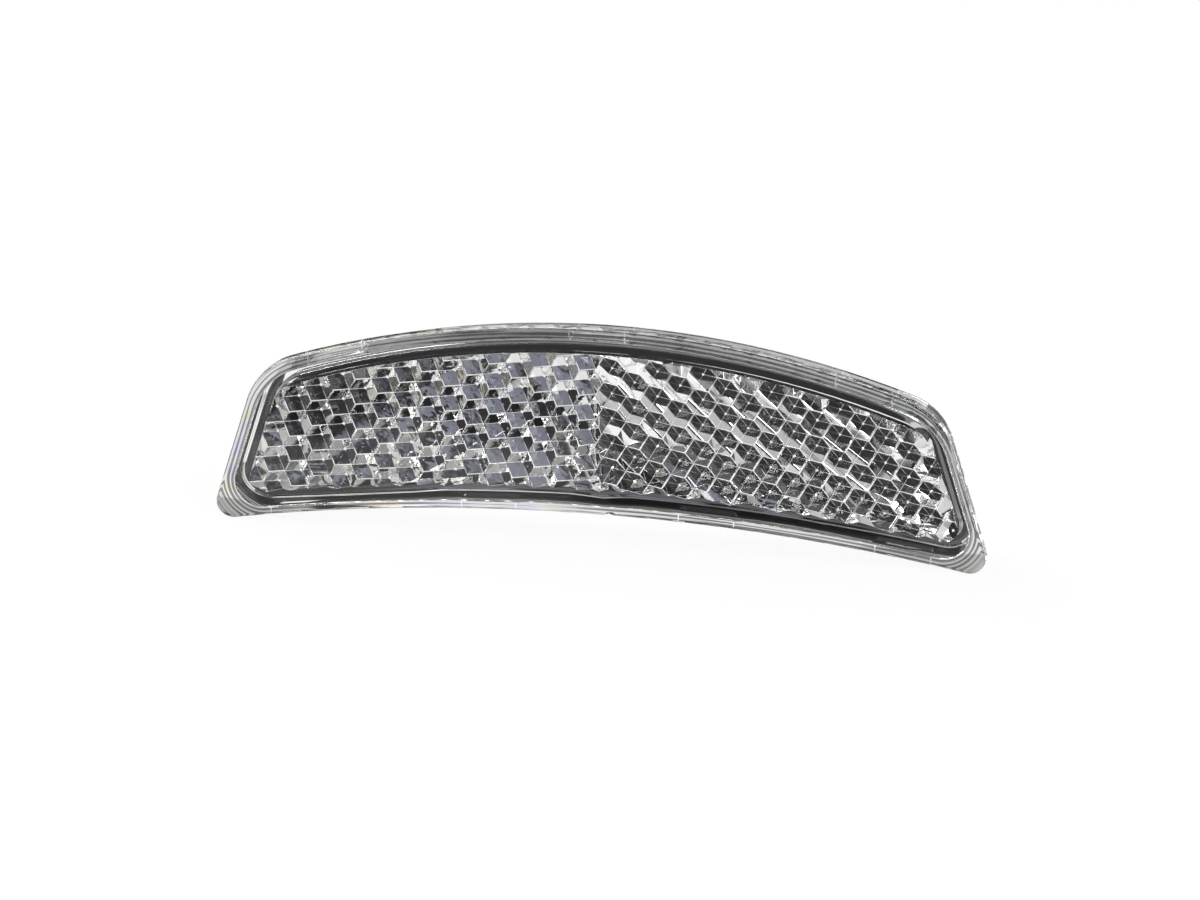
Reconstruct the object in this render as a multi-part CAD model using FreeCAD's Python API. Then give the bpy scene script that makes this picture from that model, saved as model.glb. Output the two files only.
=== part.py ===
import FreeCAD, Part
import math
import os

# Clear front reflector of a bicycle lamp, moulded in one piece.
# X runs along its width, Z is up, and the smooth front looks along -Y.
# The origin lies on the flange's rear face, in the middle of the narrow strip below the skirt.

# Flange: the thin front plate, whose edge is the outline of the part
overall_width = 80.0
middle_height = 19.9
lower_edge_radius = 218.0
upper_edge_radius = 98.0
side_lean = 17.5
shoulder_radius = 7.6
tip_radius = 1.7
flange_thickness = 1.2
flange_edge_rounding = 0.3

# Skirt: the wall behind the flange that plugs into the opening of the lamp housing
skirt_upper_margin = 1.55
skirt_side_margin = 1.15
skirt_lower_margin = 0.7
skirt_tip_radius = 2.6
skirt_wall = 1.25
skirt_depth = 5.25
skirt_foot_fillet = 0.2
skirt_inner_rounding = 0.6
skirt_lead_in = 0.2

# Lens inside the skirt: a plain web with hexagonal cube-corner pins on its back
web_thickness = 2.2
bare_strip_width = 0.35
pin_across_flats = 2.7
pin_axis_height = 6.87

# Snap lugs on the outside of the skirt, which grip behind the housing's panel
panel_thickness = 2.0
panel_clearance = 0.05
lug_length = 5.7
lug_height = 0.45
lug_crest = 0.5
lug_ramp = 1.1
upper_lug_places = (-27.2, 0.0, 27.2)
lower_lug_places = (-31.5, -11.3, 11.3, 31.5)

# Gate mark: the small scoop in the flange's lower edge where the sprue was broken off
gate_place = 1.4
gate_width = 1.2
gate_depth = 0.22

# How far one solid reaches into the next, so that they join without a seam
root_overlap = 0.3

# Smallest pin remnant worth keeping at the rim, by volume, and how flat a face in one plane is
smallest_remnant = 1e-3
plane_tolerance = 1e-4

# Planes and lattice that follow from the sizes above
front_plane = -flange_thickness
web_back = front_plane + web_thickness
pin_side = pin_across_flats / math.sqrt(3)
column_pitch = 1.5 * pin_side
cube_step = pin_side / math.sqrt(2)
lug_start = panel_thickness + panel_clearance
lower_edge = -skirt_lower_margin / 2
upper_edge = lower_edge + middle_height
upper_centre = FreeCAD.Vector(0, 0, upper_edge - upper_edge_radius)
lower_centre = FreeCAD.Vector(0, 0, lower_edge - lower_edge_radius)
depth_axis = FreeCAD.Vector(0, 1, 0)


def unit(vector):
    """The same direction with a length of one."""
    return vector * (1 / vector.Length)


def mirrored(place):
    """The matching point on the left half."""
    return FreeCAD.Vector(-place.x, place.y, place.z)


def right_side():
    """A point on the flange's right edge, the edge's upward direction and the way into the part."""
    lean = math.radians(side_lean)
    upward = FreeCAD.Vector(-math.sin(lean), 0, math.cos(lean))
    inward = FreeCAD.Vector(-math.cos(lean), 0, -math.sin(lean))
    tip_x = overall_width / 2 - tip_radius
    tip_rise = math.sqrt((lower_edge_radius + tip_radius) ** 2 - tip_x ** 2)
    tip_centre = lower_centre + FreeCAD.Vector(tip_x, 0, tip_rise)
    return tip_centre - inward * tip_radius, upward, inward


def corner_centre(side_point, upward, arc_centre, reach):
    """Where a line beside the right edge comes to lie at a given reach from an arc's centre."""
    start = side_point - arc_centre
    along = start.dot(upward)
    across = start.Length ** 2 - along ** 2
    return side_point + upward * (math.sqrt(reach ** 2 - across) - along)


def arc(first, middle, last):
    """An arc edge through three points."""
    return Part.Arc(first, middle, last).toShape()


def outline(upper_margin, side_margin, lower_margin, upper_round, lower_round):
    """Face of the flange's outline, set in by a margin on each edge, with rounded corners."""
    side_point, upward, inward = right_side()
    side_point = side_point + inward * side_margin
    upper_reach = upper_edge_radius - upper_margin
    lower_reach = lower_edge_radius + lower_margin
    shoulder_start = side_point + inward * upper_round
    shoulder = corner_centre(shoulder_start, upward, upper_centre, upper_reach - upper_round)
    tip_start = side_point + inward * lower_round
    tip = corner_centre(tip_start, upward, lower_centre, lower_reach + lower_round)

    top_end = upper_centre + unit(shoulder - upper_centre) * upper_reach
    side_top = shoulder - inward * upper_round
    side_foot = tip - inward * lower_round
    bottom_end = lower_centre + unit(tip - lower_centre) * lower_reach
    shoulder_middle = shoulder + unit(top_end + side_top - shoulder * 2) * upper_round
    tip_middle = tip + unit(side_foot + bottom_end - tip * 2) * lower_round
    top_middle = upper_centre + FreeCAD.Vector(0, 0, upper_reach)
    bottom_middle = lower_centre + FreeCAD.Vector(0, 0, lower_reach)

    edges = [
        arc(mirrored(top_end), top_middle, top_end),
        arc(top_end, shoulder_middle, side_top),
        Part.LineSegment(side_top, side_foot).toShape(),
        arc(side_foot, tip_middle, bottom_end),
        arc(bottom_end, bottom_middle, mirrored(bottom_end)),
        arc(mirrored(bottom_end), mirrored(tip_middle), mirrored(side_foot)),
        Part.LineSegment(mirrored(side_foot), mirrored(side_top)).toShape(),
        arc(mirrored(side_top), mirrored(shoulder_middle), mirrored(top_end)),
    ]
    return Part.Face(Part.Wire(edges))


def skirt_outline(inset, extra_upper_inset=0.0):
    """Outline that runs a constant inset inside the skirt's outer wall."""
    return outline(
        skirt_upper_margin + inset + extra_upper_inset,
        skirt_side_margin + inset,
        skirt_lower_margin + inset,
        shoulder_radius - skirt_side_margin - inset,
        skirt_tip_radius - inset,
    )


def slab(face, start, end):
    """A face drawn out from one depth to another."""
    moved = face.translated(depth_axis * start)
    return moved.extrude(depth_axis * (end - start))


def rim_edges(solid, depth, inner):
    """Edges of the outer outline, or of the opening, of the flat face at a given depth."""
    for face in solid.Faces:
        box = face.BoundBox
        if max(abs(box.YMin - depth), abs(box.YMax - depth)) < plane_tolerance:
            outside = face.OuterWire
            if not inner:
                return outside.Edges
            openings = [wire for wire in face.Wires if not wire.isSame(outside)]
            return openings[0].Edges
    raise ValueError("no flat face at this depth")


def make_flange():
    """Thin front plate with a rounded front edge."""
    plate = slab(outline(0, 0, 0, shoulder_radius, tip_radius), front_plane, 0)
    return plate.makeFillet(flange_edge_rounding, rim_edges(plate, front_plane, False))


def make_gate_scoop():
    """Round cutter that leaves a shallow scoop of the gate's width in the lower edge."""
    radius = (gate_width ** 2 / 4 + gate_depth ** 2) / (2 * gate_depth)
    turn = math.asin(gate_place / lower_edge_radius)
    reach = lower_edge_radius + gate_depth - radius
    centre = lower_centre + FreeCAD.Vector(math.sin(turn), 0, math.cos(turn)) * reach
    start = centre + depth_axis * (front_plane - root_overlap)
    return Part.makeCylinder(radius, flange_thickness + 2 * root_overlap, start, depth_axis)


def make_skirt():
    """Wall that follows the outline inside the flange, rounded inside and bevelled outside at its end."""
    outer = slab(skirt_outline(0), -root_overlap, skirt_depth)
    inner = slab(skirt_outline(skirt_wall), -root_overlap, skirt_depth)
    ring = outer.cut(inner)
    ring = ring.makeFillet(skirt_inner_rounding, rim_edges(ring, skirt_depth, True))
    return ring.makeChamfer(skirt_lead_in, rim_edges(ring, skirt_depth, False))


def make_web():
    """Plain plate that carries the pins, thicker than the flange."""
    return slab(skirt_outline(skirt_wall - root_overlap), -root_overlap, web_back)


def make_pin(x, z, first_edge):
    """Hexagonal pin that ends in a cube corner, with cube edges at every other side corner."""
    root = web_back - root_overlap
    apex = FreeCAD.Vector(x, web_back + 2 * cube_step, z)
    crown = []
    foot = []
    for corner in range(6):
        angle = math.radians(60 * corner)
        corner_x = x + pin_side * math.cos(angle)
        corner_z = z + pin_side * math.sin(angle)
        rise = cube_step if corner % 2 == first_edge else 0
        crown.append(FreeCAD.Vector(corner_x, web_back + rise, corner_z))
        foot.append(FreeCAD.Vector(corner_x, root, corner_z))

    rings = [foot]
    for corner in range(6):
        following = (corner + 1) % 6
        rings.append([foot[corner], foot[following], crown[following], crown[corner]])
        if corner % 2 == first_edge:
            rings.append([apex, crown[corner], crown[following], crown[(corner + 2) % 6]])
    faces = [Part.Face(Part.makePolygon(ring + ring[:1])) for ring in rings]
    return Part.Solid(Part.Shell(faces))


def make_pin_field():
    """Pins packed side by side and trimmed to the lens, turned half round on the left of the middle."""
    field = slab(skirt_outline(skirt_wall - root_overlap, bare_strip_width + root_overlap),
                 web_back - root_overlap, web_back + 2 * cube_step)
    room = field.BoundBox
    columns = math.ceil(overall_width / 2 / column_pitch)
    rows = math.ceil((middle_height + room.ZLength) / pin_across_flats)
    pins = []
    for column in range(-columns, columns):
        x = (column + 0.5) * column_pitch
        stagger = pin_across_flats / 2 * (column % 2)
        first_edge = 0 if column >= 0 else 1
        for row in range(-rows, rows):
            z = lower_edge + pin_axis_height + row * pin_across_flats + stagger
            pin = make_pin(x, z, first_edge)
            if pin.BoundBox.intersect(room):
                trimmed = pin.common(field)
                if trimmed.Volume > smallest_remnant:
                    pins.append(trimmed)
    return pins[0].fuse(pins[1:])


def make_lug(place, upper):
    """Snap lug on the upper or lower wall: square towards the panel, with a long ramp behind."""
    if upper:
        centre = upper_centre
        wall = upper_edge_radius - skirt_upper_margin
        outward = 1
    else:
        centre = lower_centre
        wall = lower_edge_radius + skirt_lower_margin
        outward = -1
    profile = [
        (lug_start, -root_overlap),
        (lug_start, lug_height),
        (lug_start + lug_crest, lug_height),
        (lug_start + lug_crest + lug_ramp, 0),
        (lug_start + lug_crest + lug_ramp, -root_overlap),
    ]
    corners = [
        centre + FreeCAD.Vector(-lug_length / 2, depth, wall + outward * rise)
        for depth, rise in profile
    ]
    face = Part.Face(Part.makePolygon(corners + corners[:1]))
    lug = face.extrude(FreeCAD.Vector(lug_length, 0, 0))
    lug.rotate(centre, depth_axis, math.degrees(math.asin(place / wall)))
    return lug


def make_reflector():
    """The whole moulding as one solid."""
    lugs = [make_lug(place, True) for place in upper_lug_places]
    lugs += [make_lug(place, False) for place in lower_lug_places]
    flange = make_flange().cut(make_gate_scoop())
    shell = flange.fuse([make_skirt(), make_web()]).removeSplitter()
    shell = shell.makeFillet(skirt_foot_fillet, rim_edges(shell, 0, True))
    return shell.fuse(lugs + [make_pin_field()]).removeSplitter()


reflector = make_reflector()
os.makedirs("parts", exist_ok=True)
reflector.exportStep("parts/reflector_lens.step")
print("solids", len(reflector.Solids), "faces", len(reflector.Faces), "valid", reflector.isValid())
print("box", reflector.BoundBox, "volume", round(reflector.Volume, 2))
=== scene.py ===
# %% [markdown]
# # A clear front reflector
#
# This lesson dresses one small moulding: the clear insert that closes the front of a bicycle lamp and
# throws light back to where it came from. The packed solids come in first as a fixed frame. Everything
# after that, the rounded edges, the finish and the studio, is built round that frame in metres.

# %% Load the frame
import math

import bmesh
import bpy
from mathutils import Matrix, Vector


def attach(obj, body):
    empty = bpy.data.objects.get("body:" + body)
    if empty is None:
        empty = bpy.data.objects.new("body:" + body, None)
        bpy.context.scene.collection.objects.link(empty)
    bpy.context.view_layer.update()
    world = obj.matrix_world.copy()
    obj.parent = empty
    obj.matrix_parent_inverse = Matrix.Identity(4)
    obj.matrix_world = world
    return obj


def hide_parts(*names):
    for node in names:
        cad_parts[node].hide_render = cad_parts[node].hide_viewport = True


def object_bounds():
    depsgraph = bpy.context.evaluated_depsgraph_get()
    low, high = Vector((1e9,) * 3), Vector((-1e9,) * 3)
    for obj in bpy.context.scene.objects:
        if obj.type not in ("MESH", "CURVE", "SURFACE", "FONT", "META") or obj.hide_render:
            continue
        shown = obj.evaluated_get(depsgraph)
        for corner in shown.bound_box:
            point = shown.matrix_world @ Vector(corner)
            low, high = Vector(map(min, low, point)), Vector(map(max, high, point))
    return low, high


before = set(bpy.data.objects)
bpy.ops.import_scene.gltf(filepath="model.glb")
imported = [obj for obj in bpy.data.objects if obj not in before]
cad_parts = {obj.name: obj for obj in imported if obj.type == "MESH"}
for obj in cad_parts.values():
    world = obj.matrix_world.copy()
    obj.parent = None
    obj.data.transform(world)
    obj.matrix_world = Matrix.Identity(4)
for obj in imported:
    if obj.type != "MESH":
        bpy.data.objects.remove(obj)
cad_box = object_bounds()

MM = 0.001


def in_mm(box):
    """A box's corners in rounded millimetres, for printing."""
    return [[round(v / MM, 2) for v in corner] for corner in box]


print("nodes", sorted(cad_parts), "box in mm", in_mm(cad_box))

# %% [markdown]
# ## The camera
#
# The reflector is seen from a little to the right and from above, through a long lens that hardly bends
# its parallel edges. A camera can be placed by eye, or worked out from a point that it looks at, two
# angles and a distance. The second way is used here, because then the view can be checked and moved by
# one number.

# %% Place the camera
VIEW_AZIMUTH = math.radians(11.6)
VIEW_ELEVATION = math.radians(21.0)
VIEW_DISTANCE = 0.520
VIEW_TARGET = Vector((0.25 * MM, 0, 6.3 * MM))
SENSOR_WIDTH = 36
FOCAL_LENGTH = 153.8
NEAR_LIMIT = 0.01


def place_camera():
    """A long-lens camera that looks at the middle of the reflector."""
    back = Vector((
        math.sin(VIEW_AZIMUTH) * math.cos(VIEW_ELEVATION),
        -math.cos(VIEW_AZIMUTH) * math.cos(VIEW_ELEVATION),
        math.sin(VIEW_ELEVATION),
    ))
    bpy.ops.object.camera_add(location=VIEW_TARGET + back * VIEW_DISTANCE)
    camera = bpy.context.object
    camera.rotation_euler = (-back).to_track_quat("-Z", "Y").to_euler()
    camera.data.sensor_width = SENSOR_WIDTH
    camera.data.lens = FOCAL_LENGTH
    camera.data.clip_start = NEAR_LIMIT
    bpy.context.scene.camera = camera
    return camera


camera = place_camera()
print("camera at", [round(v, 3) for v in camera.location])

# %% [markdown]
# ## The moulding
#
# The real part is one shot of clear acrylic, and its solid has the whole shape already, so the piece
# starts as a copy of it. The copy comes as loose triangles. They are merged at their corners, and flat
# neighbours are joined into one face, so that an edge of the mesh is an edge of the real part and can be
# picked out by its length.

# %% Copy and merge the moulding
FLAT_ANGLE = math.radians(0.3)
MERGE_REACH = 0.0002 * MM


def pick(piece):
    """Select one object alone and make it the active one."""
    bpy.ops.object.select_all(action="DESELECT")
    piece.select_set(True)
    bpy.context.view_layer.objects.active = piece


def copy_of_node(node, name):
    """A new object with its own copy of a node's mesh, merged into closed faces."""
    piece = bpy.data.objects.new(name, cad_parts[node].data.copy())
    bpy.context.scene.collection.objects.link(piece)
    pick(piece)
    bpy.ops.object.mode_set(mode="EDIT")
    bpy.ops.mesh.select_all(action="SELECT")
    bpy.ops.mesh.customdata_custom_splitnormals_clear()
    bpy.ops.mesh.remove_doubles(threshold=MERGE_REACH)
    bpy.ops.mesh.dissolve_limited(angle_limit=FLAT_ANGLE)
    bpy.ops.object.mode_set(mode="OBJECT")
    return piece


lens = copy_of_node("reflector_lens", "clear_lens")
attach(lens, "root")
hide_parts("reflector_lens")
print("merged faces", len(lens.data.polygons))

# %% [markdown]
# ## Picking the prisms' edges
#
# Each prism has a blunt tip, thin ridges that run down from it and valleys to its neighbours. They draw
# the bright dot, the fine spokes and the outline of every cell. By hand one would click them or select by
# sharpness, but the slivers where the field is trimmed are sharp too, and have no room for a rounding. So
# tips, ridges and valleys are selected in code, by their place, their angle and the room at their ends.

# %% Pick tips, ridges and valleys
WEB_BACK = 1.0 * MM
PIN_ACROSS_FLATS = 2.7 * MM
TIP_DEPTH = WEB_BACK + PIN_ACROSS_FLATS * math.sqrt(2 / 3)
TIP_REACH = 10 * MERGE_REACH
RIDGES_AT_TIP = 3
CRISP_ANGLE = math.radians(50)
SHORTEST_EDGE = 0.5 * MM
SHORTEST_NEIGHBOUR = 0.2 * MM


def start_selection(piece, kind):
    """In edit mode, clear the selection and open the mesh for picking corners or edges."""
    bpy.ops.mesh.select_mode(type=kind)
    bpy.ops.mesh.select_all(action="DESELECT")
    return bmesh.from_edit_mesh(piece.data)


def select_these(piece, chosen):
    """Select the chosen corners or edges, and count them."""
    for item in chosen:
        item.select_set(True)
    bmesh.update_edit_mesh(piece.data)
    return len(chosen)


def is_crisp(edge):
    """Whether two faces meet at an edge in a sharp turn."""
    return len(edge.link_faces) == 2 and edge.calc_face_angle() > CRISP_ANGLE


def select_tips(piece):
    """Select the whole tips, where three ridges meet."""
    mesh = start_selection(piece, "VERT")
    chosen = []
    for corner in mesh.verts:
        at_tip = abs(corner.co.y - TIP_DEPTH) < TIP_REACH
        roomy = min(edge.calc_length() for edge in corner.link_edges) > SHORTEST_EDGE
        if at_tip and roomy and len(corner.link_edges) == RIDGES_AT_TIP:
            chosen.append(corner)
    return select_these(piece, chosen)


def select_prism_edges(piece, convex):
    """Select the prisms' crisp ridges, or valleys, that have room for a rounding at both ends."""
    mesh = start_selection(piece, "EDGE")
    chosen = []
    for edge in mesh.edges:
        behind_web = min(end.co.y for end in edge.verts) > WEB_BACK - MERGE_REACH
        neighbours = [other.calc_length() for end in edge.verts for other in end.link_edges]
        roomy = edge.calc_length() > SHORTEST_EDGE and min(neighbours) > SHORTEST_NEIGHBOUR
        if behind_web and roomy and is_crisp(edge) and edge.is_convex == convex:
            chosen.append(edge)
    return select_these(piece, chosen)


print("tips lie", round(TIP_DEPTH / MM, 2), "mm behind the flange")

# %% [markdown]
# ## Picking the lugs' edges
#
# The snap lugs outside the wall have softened edges, which show through the front as thin lines. They
# could be told by their sharpness alone, but so could the end of the wall. So an edge counts as a lug's
# if one of its ends stands proud of the wall, above its upper arc or below its lower one.

# %% Pick the lugs' edges
UPPER_ARC = (98.0 * MM, 19.55 * MM)
LOWER_ARC = (218.0 * MM, -0.35 * MM)
UPPER_MARGIN = 1.55 * MM
LOWER_MARGIN = 0.7 * MM
LUG_CLEAR_OF_WALL = 0.2 * MM


def outside_wall(place):
    """Whether a point stands proud of the wall that plugs into the housing, above it or below it."""
    upper_radius, upper_top = UPPER_ARC
    lower_radius, lower_top = LOWER_ARC
    upper_reach = math.hypot(place.x, place.z - upper_top + upper_radius)
    lower_reach = math.hypot(place.x, place.z - lower_top + lower_radius)
    above = upper_reach > upper_radius - UPPER_MARGIN + LUG_CLEAR_OF_WALL
    return above or lower_reach < lower_radius + LOWER_MARGIN - LUG_CLEAR_OF_WALL


def select_lug_edges(piece):
    """Select the crisp outer edges of the snap lugs."""
    mesh = start_selection(piece, "EDGE")
    chosen = []
    for edge in mesh.edges:
        behind_flange = min(end.co.y for end in edge.verts) > WEB_BACK
        proud = any(outside_wall(end.co) for end in edge.verts)
        if behind_flange and proud and edge.is_convex and is_crisp(edge):
            chosen.append(edge)
    return select_these(piece, chosen)


print("a lug's edge stands over", round(LUG_CLEAR_OF_WALL / MM, 2), "mm proud of the wall")

# %% [markdown]
# ## Rounded edges
#
# No mould edge is quite sharp. A Bevel modifier could round all crisp edges at once, but the slivers at
# the rim would hold it back to nothing. So the tips are cut off in edit mode, and each picked edge gets a
# weight, so that one Bevel rounds the valleys more than the ridges. Slivers that it leaves at the rim are
# dissolved. The facets stay flat-shaded: a bent facet would spoil the way a prism turns light.

# %% Blunt the tips and round the edges
SMOOTH_ANGLE = math.radians(20)
TIP_BLUNTING = 0.22 * MM
EDGE_ROUNDING = 0.12 * MM
ROUNDING_SEGMENTS = 2
VALLEY_SHARE = 0.75
RIDGE_SHARE = 0.2
LUG_SHARE = 1.0


def weigh_edges(piece):
    """In edit mode, blunt the tips and give ridges, valleys and lugs their share of the rounding."""
    counts = {"tips": select_tips(piece)}
    bpy.ops.mesh.bevel(offset=TIP_BLUNTING, segments=1, affect="VERTICES", clamp_overlap=False)
    counts["ridges"] = select_prism_edges(piece, convex=True)
    bpy.ops.transform.edge_bevelweight(value=RIDGE_SHARE)
    counts["valleys"] = select_prism_edges(piece, convex=False)
    bpy.ops.transform.edge_bevelweight(value=VALLEY_SHARE)
    counts["lug edges"] = select_lug_edges(piece)
    bpy.ops.transform.edge_bevelweight(value=LUG_SHARE)
    return counts


def round_edges(piece):
    """Blunt the tips, round valleys, ridges and lugs, and shade only the rim's gentle curves smooth."""
    pick(piece)
    bpy.ops.object.mode_set(mode="EDIT")
    counts = weigh_edges(piece)
    bpy.ops.object.mode_set(mode="OBJECT")
    bevel = piece.modifiers.new("mould edges", "BEVEL")
    bevel.limit_method = "WEIGHT"
    bevel.width = EDGE_ROUNDING
    bevel.segments = ROUNDING_SEGMENTS
    bevel.use_clamp_overlap = False
    bpy.ops.object.modifier_apply(modifier=bevel.name)
    bpy.ops.object.mode_set(mode="EDIT")
    bpy.ops.mesh.select_all(action="SELECT")
    bpy.ops.mesh.remove_doubles(threshold=MERGE_REACH)
    bpy.ops.mesh.dissolve_degenerate(threshold=MERGE_REACH)
    bpy.ops.object.mode_set(mode="OBJECT")
    bpy.ops.object.shade_smooth_by_angle(angle=SMOOTH_ANGLE)
    return counts


print("rounded", round_edges(lens), "faces", len(lens.data.polygons))

# %% [markdown]
# ## Shader sums
#
# A finish is a small calculation for each point of the surface. Nodes can be placed and linked one by
# one, which soon hides the sum that they stand for. Here a wrapper lets a socket be added, multiplied or
# subtracted as a number is, and each sum adds its own Math node.

# %% Wrap sockets for sums
MIX_FIRST_COLOUR = 6
MIX_SECOND_COLOUR = 7
MIX_COLOUR_RESULT = 2


class Shade:
    """A shader socket, or a bare node tree, that takes part in sums and makes further nodes."""

    def __init__(self, tree, socket=None):
        self.tree = tree
        self.socket = socket

    def node(self, kind, settings=None, inputs=None, output=0):
        """Add a node: its settings first, then values or links for its sockets, by name or number."""
        made = self.tree.nodes.new(kind)
        for name, value in (settings or {}).items():
            setattr(made, name, value)
        for name, value in (inputs or {}).items():
            if isinstance(value, Shade):
                self.tree.links.new(value.socket, made.inputs[name])
            else:
                made.inputs[name].default_value = value
        return Shade(self.tree, made.outputs[output] if made.outputs else None)

    def sum(self, operation, first, second=0):
        """A Math node on one or two values."""
        return self.node("ShaderNodeMath", {"operation": operation}, {0: first, 1: second})

    def __add__(self, other):
        return self.sum("ADD", self, other)

    __radd__ = __add__

    def __sub__(self, other):
        return self.sum("SUBTRACT", self, other)

    def __rsub__(self, other):
        return self.sum("SUBTRACT", other, self)

    def __mul__(self, other):
        return self.sum("MULTIPLY", self, other)

    __rmul__ = __mul__

    def __truediv__(self, other):
        return self.sum("DIVIDE", self, other)

    def __rtruediv__(self, other):
        return self.sum("DIVIDE", other, self)

    def least(self, other):
        """The smaller of two values."""
        return self.sum("MINIMUM", self, other)

    def most(self, other):
        """The larger of two values."""
        return self.sum("MAXIMUM", self, other)

    def size(self):
        """The value without its sign."""
        return self.sum("ABSOLUTE", self)

    def axes(self):
        """The three parts of a vector."""
        split = self.node("ShaderNodeSeparateXYZ", inputs={0: self}).socket.node
        return [Shade(self.tree, socket) for socket in split.outputs]

    def step(self, start, end, low=0.0, high=1.0):
        """A smooth step from low at start to high at end."""
        inputs = {"Value": self, "From Min": start, "From Max": end, "To Min": low, "To Max": high}
        return self.node("ShaderNodeMapRange", {"interpolation_type": "SMOOTHSTEP"}, inputs)

    def blend(self, first, second):
        """Mix two colours by this value."""
        inputs = {"Factor": self, MIX_FIRST_COLOUR: first, MIX_SECOND_COLOUR: second}
        return self.node("ShaderNodeMix", {"data_type": "RGBA"}, inputs, MIX_COLOUR_RESULT)


def new_material(name):
    """An empty node material and the tree to fill it with."""
    material = bpy.data.materials.new(name)
    material.use_nodes = True
    material.node_tree.nodes.clear()
    return material, Shade(material.node_tree)


def between(value, places):
    """One between the two middle places, fading out to the first and the last."""
    return value.step(places[0], places[1]) * value.step(places[2], places[3], 1.0, 0.0)


print("operators ready:", [name for name in vars(Shade) if name.startswith("__r")])

# %% [markdown]
# ## How far inside the edge
#
# The fine lines of this part follow its edge, which is made of two arcs, two leaning sides and four round
# corners. A stripe texture runs straight, and a UV map would have to be drawn for it by hand. So the
# shader works out how far each point lies inside each edge, and takes the least. Near a corner it takes
# the distance to the corner's centre instead, so that the lines turn the corner smoothly, as they do on
# the real flange.

# %% Measure the distance inside the outline
HALF_WIDTH = 40.0 * MM
TIP_ROUND = 1.7 * MM
SIDE_LEAN = math.radians(17.5)
SHOULDER_TURN = math.radians(17.8)
TIP_TURN = math.asin((HALF_WIDTH - TIP_ROUND) / LOWER_ARC[0])
SHOULDER_FACING = math.sin(SIDE_LEAN + SHOULDER_TURN)
TIP_FACING = -math.sin(SIDE_LEAN + TIP_TURN)


def arc_reach(tree, x, z, centre_z):
    """Distance from an arc's centre on the middle plane."""
    over = z - centre_z
    return tree.sum("SQRT", x * x + over * over)


def inside_edges(tree, x, z):
    """How far a point lies inside the flange's upper, lower and nearest side edge."""
    upper_radius, upper_top = UPPER_ARC
    lower_radius, lower_top = LOWER_ARC
    from_top = upper_radius - arc_reach(tree, x, z, upper_top - upper_radius)
    from_bottom = arc_reach(tree, x, z, lower_top - lower_radius) - lower_radius
    tip_x = HALF_WIDTH - TIP_ROUND
    tip_z = math.sqrt((lower_radius + TIP_ROUND) ** 2 - tip_x ** 2) + lower_top - lower_radius
    side_reach = TIP_ROUND + tip_x * math.cos(SIDE_LEAN) + tip_z * math.sin(SIDE_LEAN)
    from_side = side_reach - x.size() * math.cos(SIDE_LEAN) - z * math.sin(SIDE_LEAN)
    return from_top, from_bottom, from_side


def rounded_corner(tree, first, second, radius, facing):
    """How far a point lies inside two edges and the round corner between them.

    Facing is the product of the two edges' inward normals.
    """
    over, beside = first - radius, second - radius
    square = over * over + beside * beside - over * beside * (2 * facing)
    reach = tree.sum("SQRT", square / (1 - facing ** 2))
    past_first = tree.sum("GREATER_THAN", beside * facing, over)
    past_second = tree.sum("GREATER_THAN", over * facing, beside)
    in_corner = past_first * past_second
    return in_corner * (radius - reach) + (1 - in_corner) * first.least(second)


print("normals' product at the shoulders", round(SHOULDER_FACING, 2))
print("normals' product at the tips", round(TIP_FACING, 2))

# %% [markdown]
# ## Grooves, painted shade streaks and slide marks
#
# On the back of the flange the mould's polish has left fine grooves that follow the edge, which the bump
# shows. The soft grey streaks along them are painted shade, dark and pale tints in the clear plastic. The
# slides that shape the snap lugs have left a thin line across it at each lug's end, where the painted shade
# stops. Grooves could be cut in the mesh, but they are far finer than its faces. So they are a noise drawn
# out along the edge, with a sine over the distance inside it. In the broad tips they grow calm.

# %% Draw the grooves, the painted shade streaks and the slide marks
STREAK_PITCH = 0.26 * MM
STREAK_LENGTH = 24.0 * MM
STREAK_DETAIL = {"Scale": 1.0, "Detail": 2.0, "Roughness": 0.6}
GROOVE_PITCH = 0.43 * MM
GROOVE_SHARE = 0.24
GROOVE_END = (-2.1 * MM, -1.2 * MM)
TIP_RELIEF = 0.2
MIDDLE_TONE = 0.5
STREAK_RANGE = (0.36, 0.64)
# Painted shade: the dark and pale tints of the flange's streaks.
STREAK_PAINTED_SHADE_DARK = (0.05, 0.05, 0.053, 1)
STREAK_PAINTED_SHADE_LIGHT = (0.68, 0.685, 0.69, 1)
CLEAR_TONE = (0.985, 0.99, 0.995, 1)
UPPER_LUGS = (0.0, 27.2 * MM)
LOWER_LUGS = (11.3 * MM, 31.5 * MM)
LUG_HALF = 2.85 * MM
LIP_HEIGHT = (2 * MM, 3 * MM)
SLIDE_MARK_FADE = (0.04 * MM, 0.09 * MM)


def streaks(tree, distance, pitch, along):
    """Fine lines that follow an edge, as a noise drawn out along it."""
    place = tree.node("ShaderNodeCombineXYZ", {}, {0: distance / pitch, 1: along / STREAK_LENGTH})
    return tree.node("ShaderNodeTexNoise", {"noise_dimensions": "2D"}, {"Vector": place, **STREAK_DETAIL})


def slide_marks(x, lugs):
    """One on the fine lines that the mould's slides leave across the flange, at both ends of each lug."""
    off_end = [((x.size() - place).size() - LUG_HALF).size() for place in lugs]
    return off_end[0].least(off_end[1]).step(*SLIDE_MARK_FADE, 1.0, 0.0)


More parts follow.
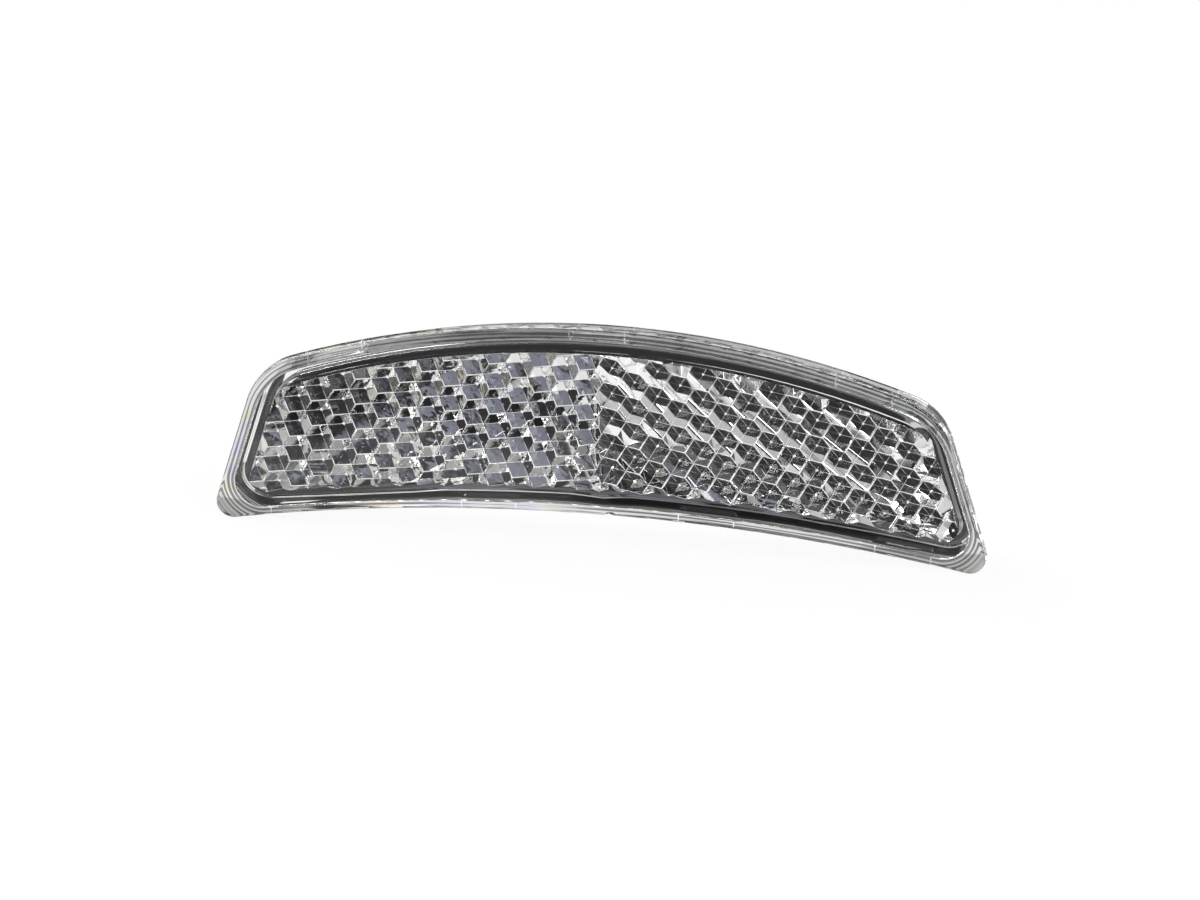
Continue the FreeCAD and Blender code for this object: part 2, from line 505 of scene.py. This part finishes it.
def flange_tone(tree, x, inset, lower, flow):
    """Painted shade: grey streaks along the edge that grow calm in the tips, with the slide marks across
    them.
    """
    grooves = tree.sum("SINE", inset * (math.tau / GROOVE_PITCH) + flow * math.tau)
    relief = (flow + grooves * GROOVE_SHARE - MIDDLE_TONE) * inset.step(*GROOVE_END, TIP_RELIEF, 1.0)
    # The streaks are painted shade, tinted into the clear plastic.
    lines = (relief + MIDDLE_TONE).step(*STREAK_RANGE).blend(STREAK_PAINTED_SHADE_DARK, STREAK_PAINTED_SHADE_LIGHT)
    on_lip = lower.step(*LIP_HEIGHT, 1.0, 0.0)
    marks = on_lip * slide_marks(x, LOWER_LUGS) + (1 - on_lip) * slide_marks(x, UPPER_LUGS)
    return marks.blend(lines, CLEAR_TONE)


print("grooves every", round(GROOVE_PITCH / MM, 2), "mm")
print("slide marks", round(2 * LUG_HALF / MM, 1), "mm apart")

# %% [markdown]
# ## Clear acrylic
#
# Acrylic is colourless and bends light a little less than window glass. The rear rim of the wall and the
# bare strip above the prisms get a grain with a little roughness, and are tinted near black as painted
# shade, so that they read as a dark frame. The grain could be a plain noise, but it is drawn out along the
# edge like the grooves. A slow ripple on the prisms stands for the shrinkage of the cooling plastic. It is
# deep on the left half, whose facets look out into the room, and slight on the right half, whose facets
# must throw light straight back.

# %% Mix the clear acrylic
ACRYLIC_IOR = 1.49
SIDE_MARGIN = 1.15 * MM
WALL = 1.25 * MM
WALL_SHOULDER_ROUND = 6.45 * MM
WALL_TIP_ROUND = 2.6 * MM
BARE_STRIP = 0.35 * MM
FLANGE_FADE = (0.0, 0.15 * MM)
FLANGE_REAR = (-0.8 * MM, -0.6 * MM)
WALL_BAND = (0.10 * MM, 0.20 * MM, WALL + 0.10 * MM, WALL + 0.25 * MM)
WALL_RIM = (3.6 * MM, 4.0 * MM)
STRIP_BAND = (WALL - 0.10 * MM, WALL, WALL + BARE_STRIP, WALL + BARE_STRIP + 0.15 * MM)
STRIP_DEPTH = (0.8 * WEB_BACK, 0.9 * WEB_BACK, 1.1 * WEB_BACK, 1.2 * WEB_BACK)
GRAIN_PITCH = 0.45 * MM
GRAIN_RANGE = (0.35, 0.65)
# Near-black tints: painted shade that makes the rim and the strip a dark frame.
FRAME_PAINTED_SHADE_DARK = (0.0008, 0.0008, 0.0009, 1)
FRAME_PAINTED_SHADE_LIGHT = (0.018, 0.018, 0.019, 1)
GRAIN_ROUGHNESS = 0.02
PIN_ROOT = (WEB_BACK, 1.1 * WEB_BACK)
PIN_FIELD = (WALL, WALL + 0.3 * MM)
MIDDLE_SEAM = (-0.1 * MM, 0.1 * MM)
RIPPLE_SIZE = 0.9 * MM
RIPPLE_HEIGHT_LEFT = 5.0
RIPPLE_HEIGHT_RIGHT = 0.6
BUMP_STRENGTH = 0.1
BUMP_DISTANCE = 0.01 * MM


def prism_ripple(tree, place, x, y, inset):
    """A slow ripple on the prisms, deeper on the left half than on the right."""
    ripple = tree.node("ShaderNodeTexNoise", {}, {"Vector": place, "Scale": 1 / RIPPLE_SIZE, "Detail": 1.0})
    on_pins = y.step(*PIN_ROOT) * inset.step(*PIN_FIELD)
    return ripple * x.step(*MIDDLE_SEAM, RIPPLE_HEIGHT_LEFT, RIPPLE_HEIGHT_RIGHT) * on_pins


def mix_clear_acrylic():
    """Clear acrylic with painted shade streaks on the flange, a grained rim and strip tinted near black as
    painted shade, and a slow ripple on the prisms.
    """
    material, tree = new_material("clear_acrylic")
    place = tree.node("ShaderNodeTexCoord", output="Object")
    x, y, z = place.axes()
    along = x + z
    from_top, from_bottom, from_side = inside_edges(tree, x, z)
    upper, lower, side = from_top - UPPER_MARGIN, from_bottom - LOWER_MARGIN, from_side - SIDE_MARGIN
    rim = rounded_corner(tree, lower, side, WALL_TIP_ROUND, TIP_FACING)
    inset = rim.least(rounded_corner(tree, upper, side, WALL_SHOULDER_ROUND, SHOULDER_FACING))
    flow = streaks(tree, inset, STREAK_PITCH, along)
    on_flange = inset.step(*FLANGE_FADE, 1.0, 0.0) * y.step(*FLANGE_REAR)
    tone = on_flange.blend(CLEAR_TONE, flange_tone(tree, x, inset, lower, flow))
    on_rim = between(rim, WALL_BAND) * y.step(*WALL_RIM)
    on_strip = between(upper, STRIP_BAND) * between(y, STRIP_DEPTH)
    on_wall = on_rim.most(on_strip)
    # The rim and strip get painted shade, near black, patterned by the grain and darker further in.
    grain_in_painted_shade = streaks(tree, inset + y, GRAIN_PITCH, along).step(*GRAIN_RANGE)
    depth = inset.step(0.0, WALL, 1.0, 0.0)
    tone = on_wall.blend(tone, (grain_in_painted_shade * depth).blend(FRAME_PAINTED_SHADE_DARK, FRAME_PAINTED_SHADE_LIGHT))
    height = flow * on_flange + prism_ripple(tree, place, x, y, inset)
    bump = tree.node(
        "ShaderNodeBump", {},
        {"Strength": BUMP_STRENGTH, "Distance": BUMP_DISTANCE, "Height": height},
    )
    shader = tree.node(
        "ShaderNodeBsdfPrincipled", {},
        {
            "Base Color": tone,
            "Roughness": on_wall * GRAIN_ROUGHNESS,
            "IOR": ACRYLIC_IOR,
            "Transmission Weight": 1.0,
            "Normal": bump,
        },
    )
    tree.node("ShaderNodeOutputMaterial", {}, {"Surface": shader})
    return material


lens.data.materials.clear()
lens.data.materials.append(mix_clear_acrylic())
print("finish", lens.data.materials[0].name, "with", len(lens.data.materials[0].node_tree.nodes), "nodes")

# %% [markdown]
# ## What the prisms see of the floor
#
# Clear plastic shows nothing but what stands round it, so the floor is half of the finish. It could be
# left one white, but then whole families of facets would be white too. So light and shade are painted on
# the table's glow that the plastic sees: a painted shadow of the part close under it, a narrow dark strip
# of painted shadow where no light gets through, and painted shade in front and far to the right, where the
# white turns grey. Behind on the left painted glints of the prisms' split light fall on it, faintly cream
# and violet. Each of these shows again in one family of facets.

# %% Tone the table with painted light and shade
TABLE_WHITE = (0.95, 0.95, 0.935, 1)
# Painted shadow of the part close under it, and the narrow painted shadow strip below.
TABLE_PAINTED_SHADOW_UNDER = (0.55, 0.55, 0.53, 1)
TABLE_PAINTED_SHADOW_STRIP = (0.02, 0.018, 0.02, 1)
# Painted shade on the table far to the right.
TABLE_PAINTED_SHADE_FAR_RIGHT = (0.62, 0.62, 0.59, 1)
# Painted shade on the table in front of the part.
TABLE_PAINTED_SHADE_FRONT = (0.22, 0.22, 0.22, 1)
# Painted glints of the prisms' split light, cream and violet.
TABLE_PAINTED_GLINT_CREAM = (1.0, 0.92, 0.72, 1)
TABLE_PAINTED_GLINT_VIOLET = (0.86, 0.85, 1.0, 1)
UNDER_DEPTH = (-4 * MM, -1 * MM, 4.5 * MM, 5 * MM)
PART_HALF = (41 * MM, 44 * MM)
SHADE_DEPTH = (4.4 * MM, 4.8 * MM, 7.0 * MM, 7.6 * MM)
SHADE_SPAN = (-33 * MM, -31 * MM, 4 * MM, 8 * MM)
FAR_REACH = (55 * MM, 70 * MM)
FAR_SLANT = (-0.05, 0.25)
FRONT_REACH = (-22 * MM, -28 * MM)
FRONT_RIGHT_REACH = (-6 * MM, -10 * MM)
FRONT_RIGHT_SIDE = (-8 * MM, 0.0)
GLINT_DEPTH = (6 * MM, 8 * MM, 28 * MM, 34 * MM)
GLINT_SIDE = (-8 * MM, -2 * MM)
GLINT_SIZE = 5 * MM
CREAM_RANGE = (0.55, 0.62)
VIOLET_RANGE = (0.45, 0.38)


def table_tone(tree, place):
    """White, with painted shade in front and far to the right, painted glints behind on the left, and
    painted shadow under the part.
    """
    x, y, _ = place.axes()
    away = tree.node("ShaderNodeVectorMath", {"operation": "LENGTH"}, {0: place}, "Value")
    # Painted shade far to the right.
    far_right = away.step(*FAR_REACH) * (x / y).step(*FAR_SLANT) * y.step(0, FAR_REACH[0])
    tone = far_right.blend(TABLE_WHITE, TABLE_PAINTED_SHADE_FAR_RIGHT)
    # Painted shade in front, and in front on the right.
    front = y.step(*FRONT_REACH).most(y.step(*FRONT_RIGHT_REACH) * x.step(*FRONT_RIGHT_SIDE))
    tone = front.blend(tone, TABLE_PAINTED_SHADE_FRONT)
    # Painted glints of split light behind on the left.
    glint = tree.node("ShaderNodeTexNoise", {}, {"Vector": place, "Scale": 1 / GLINT_SIZE, "Detail": 1.0})
    behind_left = between(y, GLINT_DEPTH) * x.step(*GLINT_SIDE, 1.0, 0.0)
    tone = (glint.step(*CREAM_RANGE) * behind_left).blend(tone, TABLE_PAINTED_GLINT_CREAM)
    tone = (glint.step(*VIOLET_RANGE) * behind_left).blend(tone, TABLE_PAINTED_GLINT_VIOLET)
    near_part = x.size().step(*PART_HALF, 1.0, 0.0)
    # Painted shadow close under the part, then the narrow painted shadow strip.
    tone = (between(y, UNDER_DEPTH) * near_part).blend(tone, TABLE_PAINTED_SHADOW_UNDER)
    return (between(y, SHADE_DEPTH) * between(x, SHADE_SPAN)).blend(tone, TABLE_PAINTED_SHADOW_STRIP)


print("dark strip, mm behind the flange:", [round(place / MM, 1) for place in SHADE_DEPTH[1:3]])

# %% [markdown]
# ## The floor
#
# The reflector stands on a white table. A lit matt table would do, but its tone would change with every
# lamp that is moved. So the camera sees the table almost as white as the background, and a small share of
# its own matt surface keeps a soft shadow. A ray that comes through the plastic finds the painted light
# and shade above.

# %% Lay the floor
TABLE_SIZE = 6
TABLE_MATT = (0.85, 0.85, 0.85, 1)
WHITE = (1, 1, 1, 1)
SHADOW_SHARE = 0.06


def rays(tree, *names):
    """One where a ray is of any of the named kinds."""
    outputs = tree.node("ShaderNodeLightPath").socket.node.outputs
    either = Shade(tree.tree, outputs[names[0]])
    for name in names[1:]:
        either = either.most(Shade(tree.tree, outputs[name]))
    return either


def mix_pale_table():
    """White to the camera but for a soft shadow, and with painted light and shade for what the plastic
    shows.
    """
    material, tree = new_material("pale_table")
    place = tree.node("ShaderNodeTexCoord", output="Object")
    matt = tree.node("ShaderNodeBsdfDiffuse", {}, {"Color": TABLE_MATT})
    white = tree.node("ShaderNodeEmission", {}, {"Color": WHITE, "Strength": 1.0})
    glow = tree.node("ShaderNodeEmission", {}, {"Color": table_tone(tree, place), "Strength": 1.0})
    through = rays(tree, "Is Glossy Ray", "Is Transmission Ray")
    straight = rays(tree, "Is Camera Ray") * (1 - SHADOW_SHARE)
    near = tree.node("ShaderNodeMixShader", {}, {0: straight, 1: matt, 2: white})
    seen = tree.node("ShaderNodeMixShader", {}, {0: through, 1: near, 2: glow})
    tree.node("ShaderNodeOutputMaterial", {}, {"Surface": seen})
    return material


def lay_floor():
    """A wide table top under the tips of the reflector."""
    bpy.ops.object.select_all(action="DESELECT")
    bpy.ops.mesh.primitive_plane_add(size=TABLE_SIZE, location=(0, 0, cad_box[0].z))
    table = bpy.context.object
    table.name = "table"
    bpy.ops.object.transform_apply(location=True)
    table.data.materials.append(mix_pale_table())
    return table


table = lay_floor()
print(table.name, "at", round(cad_box[0].z / MM, 2), "mm")

# %% [markdown]
# ## The room
#
# A photographer gives clear plastic its shape with dark surroundings and cards: against an even white
# room the prisms would vanish. The background that the camera sees straight on stays white. The plastic
# sees a dim slate room instead, with light cards low behind the part and black ones, called flags, above
# them and round the camera. Cards could be planes in the scene, but those would stand in the way of other
# views. Here they are patches of the world. Each is placed by the bearing and the rise at which it
# stands, so it can be moved by two numbers until the facets that look its way are right.

# %% Darken the room
ROOM_DARK = (0.012, 0.011, 0.013, 1)
ROOM_LIGHT = (0.21, 0.22, 0.265, 1)
ROOM_MOTTLE = 38.0
MOTTLE_RANGE = (0.44, 0.62)
# Bearing and rise, half width and half height, soft edge (all in degrees), and colour
ROOM_CARDS = {
    "upper right card": ((17, 25), (8, 8), 1.5, (0.20, 0.20, 0.21, 1)),
    "rear right card": ((28.5, 5), (13.5, 16), 1.5, (0.66, 0.66, 0.635, 1)),
    "rear left card": ((-46, 1.5), (18, 5.5), 1.5, (1.0, 1.0, 1.0, 1)),
    "left card": ((-90, 5), (25, 14), 1.5, (0.72, 0.72, 0.68, 1)),
    "left flag": ((-90, 14.0), (25, 1.7), 0.8, (0.03, 0.026, 0.032, 1)),
    "rear flag": ((-16.5, 32), (25.5, 14), 1.5, (0.015, 0.014, 0.015, 1)),
    "rear left flag": ((-27, 28), (14, 18), 1.5, (0.015, 0.014, 0.015, 1)),
    "camera flag": ((168.4, 21), (28, 25), 1.5, (0.02, 0.018, 0.02, 1)),
}


def card(tree, axes, aim, half, edge):
    """One on a soft-edged card, by its bearing from straight behind and its rise, in degrees."""
    x, y, z = axes
    turn = math.radians(aim[0])
    ahead = x * math.sin(turn) + y * math.cos(turn)
    aside = x * math.cos(turn) - y * math.sin(turn)
    across = tree.sum("ARCTAN2", aside, ahead).size()
    above = (tree.sum("ARCSINE", z) - math.radians(aim[1])).size()
    mask = across.step(math.radians(half[0]), math.radians(half[0] + edge), 1.0, 0.0)
    return mask * above.step(math.radians(half[1]), math.radians(half[1] + edge), 1.0, 0.0)


def darken_room():
    """A dark room with cards for the plastic, and a white one for the camera."""
    room = bpy.data.worlds.new("studio")
    bpy.context.scene.world = room
    room.use_nodes = True
    room.node_tree.nodes.clear()
    tree = Shade(room.node_tree)
    way = tree.node("ShaderNodeTexCoord", output="Generated")
    patches = tree.node("ShaderNodeTexNoise", {}, {"Vector": way, "Scale": ROOM_MOTTLE, "Detail": 2.0})
    tone = patches.step(*MOTTLE_RANGE).blend(ROOM_DARK, ROOM_LIGHT)
    axes = way.axes()
    for aim, half, edge, colour in ROOM_CARDS.values():
        tone = card(tree, axes, aim, half, edge).blend(tone, colour)
    seen = rays(tree, "Is Camera Ray").blend(tone, WHITE)
    light = tree.node("ShaderNodeBackground", {}, {"Color": seen, "Strength": 1.0})
    tree.node("ShaderNodeOutputWorld", {}, {"Surface": light})


darken_room()
print("room with", ", ".join(ROOM_CARDS))

# %% [markdown]
# ## The lamps
#
# Two soft lamps add the sparkle and the faint shadow. One small lamp could do that too, but large ones
# give the shadow a soft edge. Light crosses many faces before it leaves the prisms, so it gets more
# bounces than Blender gives it by itself. Colours are shown as they are written.

# %% Hang the lamps
LAMP_SIDE = 0.5
LIGHT_BOUNCES = 24
LAMPS = {
    "key": ((-0.42, 0.19, 0.53), 6, (1, 0.97, 0.9)),
    "fill": ((0.5, -0.3, 0.55), 5, (0.9, 0.95, 1)),
}


def hang_lamp(name, place, watts, colour):
    """A square soft lamp that looks at the reflector."""
    place = Vector(place)
    bpy.ops.object.light_add(type="AREA", location=place)
    lamp = bpy.context.object
    lamp.name = name
    lamp.rotation_euler = (-place).to_track_quat("-Z", "Y").to_euler()
    lamp.data.shape = "SQUARE"
    lamp.data.size = LAMP_SIDE
    lamp.data.energy = watts
    lamp.data.color = colour


for name, lamp in LAMPS.items():
    hang_lamp(name, *lamp)
scene = bpy.context.scene
scene.view_settings.view_transform = "Standard"
scene.cycles.max_bounces = LIGHT_BOUNCES
scene.cycles.glossy_bounces = LIGHT_BOUNCES
scene.cycles.transmission_bounces = LIGHT_BOUNCES

# %% [markdown]
# ## The packed box
#
# The dressed part must stay inside the packed box.
